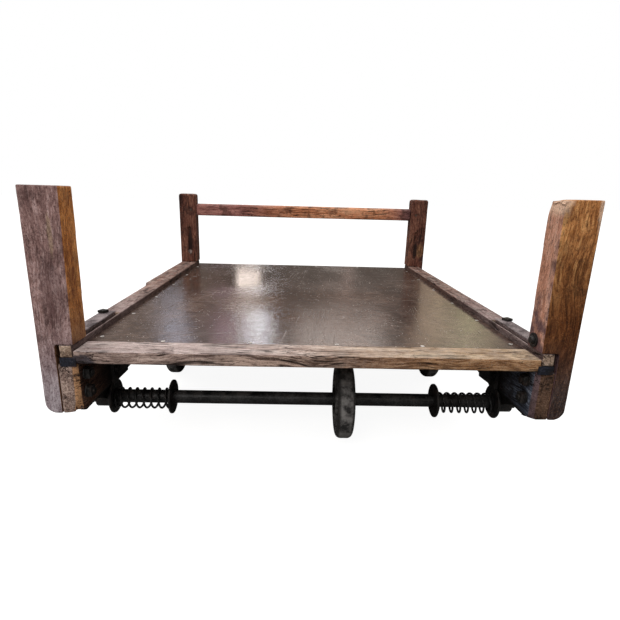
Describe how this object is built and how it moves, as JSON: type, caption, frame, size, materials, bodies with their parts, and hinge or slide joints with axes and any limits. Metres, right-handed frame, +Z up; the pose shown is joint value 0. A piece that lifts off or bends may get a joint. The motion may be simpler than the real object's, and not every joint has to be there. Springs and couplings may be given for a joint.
{
  "type": "platform truck",
  "caption": "Low timber factory truck with a sheet-steel deck, corner posts, a rear rail and wheels in a diamond; the end wheels float on sprung rods.",
  "frame": {"origin": "on the floor, at the middle of the truck's width and length", "axes": "+Z up, +X to the right of a person facing the front, front towards -Y, rear rail towards +Y"},
  "size_m": [1.067, 1.219, 0.593],
  "materials": {
    "timber": "old oiled hardwood, worn and stained",
    "deck_steel": "dark worn sheet steel, soft sheen",
    "bar_steel": "blackened round bar",
    "spring_steel": "black spring wire",
    "wheel_iron": "dusty cast iron",
    "black_iron": "blackened iron, light rust",
    "fastener_steel": "dull steel"
  },
  "bodies": {
    "frame": {"axle_cotters": "fastener_steel", "cross_bearer_1": "timber", "cross_bearer_2": "timber", "cross_bearer_3": "timber", "cross_bearer_4": "timber", "deck_plank_1": "timber", "deck_plank_2": "timber", "deck_plank_3": "timber", "deck_plank_4": "timber", "deck_plank_5": "timber", "deck_screws": "fastener_steel", "deck_sheet": "deck_steel", "frame_bolts": "fastener_steel", "front_axle": "bar_steel", "front_corner_irons": "black_iron", "front_knees": "black_iron", "front_left_hanger": "black_iron", "front_left_post": "timber", "front_left_spring": "spring_steel", "front_outer_washers": "black_iron", "front_rail": "timber", "front_right_hanger": "black_iron", "front_right_post": "timber", "front_right_spring": "spring_steel", "lag_screws": "fastener_steel", "left_cap_rail": "timber", "left_cap_strap": "black_iron", "left_sill": "timber", "middle_axle": "bar_steel", "middle_collars": "black_iron", "middle_left_hanger": "black_iron", "middle_right_hanger": "black_iron", "rear_axle": "bar_steel", "rear_knees": "black_iron", "rear_left_hanger": "black_iron", "rear_left_post": "timber", "rear_left_spring": "spring_steel", "rear_outer_washers": "black_iron", "rear_rail": "timber", "rear_right_hanger": "black_iron", "rear_right_post": "timber", "rear_right_spring": "spring_steel", "rear_top_rail": "timber", "right_cap_rail": "timber", "right_cap_strap": "black_iron", "right_sill": "timber", "strap_bolts": "fastener_steel", "top_rail_pegs": "timber"},
    "front_slider": {"front_wheel_bush": "black_iron"},
    "front_wheel": {"front_wheel": "wheel_iron"},
    "front_left_buffer": {"front_left_washer": "black_iron"},
    "front_right_buffer": {"front_right_washer": "black_iron"},
    "rear_slider": {"rear_wheel_bush": "black_iron"},
    "rear_wheel": {"rear_wheel": "wheel_iron"},
    "rear_left_buffer": {"rear_left_washer": "black_iron"},
    "rear_right_buffer": {"rear_right_washer": "black_iron"},
    "left_wheel": {"left_wheel": "wheel_iron", "left_wheel_bush": "black_iron"},
    "right_wheel": {"right_wheel": "wheel_iron", "right_wheel_bush": "black_iron"}
  },
  "joints": [
    {"name": "front_wheel_float", "type": "slide", "parent": "frame", "child": "front_slider", "axis": [1, 0, 0], "range_m": [-0.3874, 0.1964]},
    {"name": "front_wheel_spin", "type": "hinge", "parent": "front_slider", "child": "front_wheel", "pos_m": [0.091, -0.4315, 0.1055], "axis": [1, 0, 0], "continuous": true},
    {"name": "front_left_buffer_slide", "type": "slide", "parent": "frame", "child": "front_left_buffer", "axis": [-1, 0, 0], "range_m": [0, 0.06], "stiffness_N_per_m": 9900, "deforming": ["front_left_spring"]},
    {"name": "front_right_buffer_slide", "type": "slide", "parent": "frame", "child": "front_right_buffer", "axis": [1, 0, 0], "range_m": [0, 0.06], "stiffness_N_per_m": 9900, "deforming": ["front_right_spring"]},
    {"name": "rear_wheel_float", "type": "slide", "parent": "frame", "child": "rear_slider", "axis": [1, 0, 0], "range_m": [-0.2364, 0.3564]},
    {"name": "rear_wheel_spin", "type": "hinge", "parent": "rear_slider", "child": "rear_wheel", "pos_m": [-0.06, 0.4315, 0.1055], "axis": [1, 0, 0], "continuous": true},
    {"name": "rear_left_buffer_slide", "type": "slide", "parent": "frame", "child": "rear_left_buffer", "axis": [-1, 0, 0], "range_m": [0, 0.06], "stiffness_N_per_m": 9900, "deforming": ["rear_left_spring"]},
    {"name": "rear_right_buffer_slide", "type": "slide", "parent": "frame", "child": "rear_right_buffer", "axis": [1, 0, 0], "range_m": [0, 0.06], "stiffness_N_per_m": 9900, "deforming": ["rear_right_spring"]},
    {"name": "left_wheel_spin", "type": "hinge", "parent": "frame", "child": "left_wheel", "pos_m": [-0.425, 0, 0.0935], "axis": [1, 0, 0], "continuous": true},
    {"name": "right_wheel_spin", "type": "hinge", "parent": "frame", "child": "right_wheel", "pos_m": [0.425, 0, 0.0935], "axis": [1, 0, 0], "continuous": true}
  ]
}
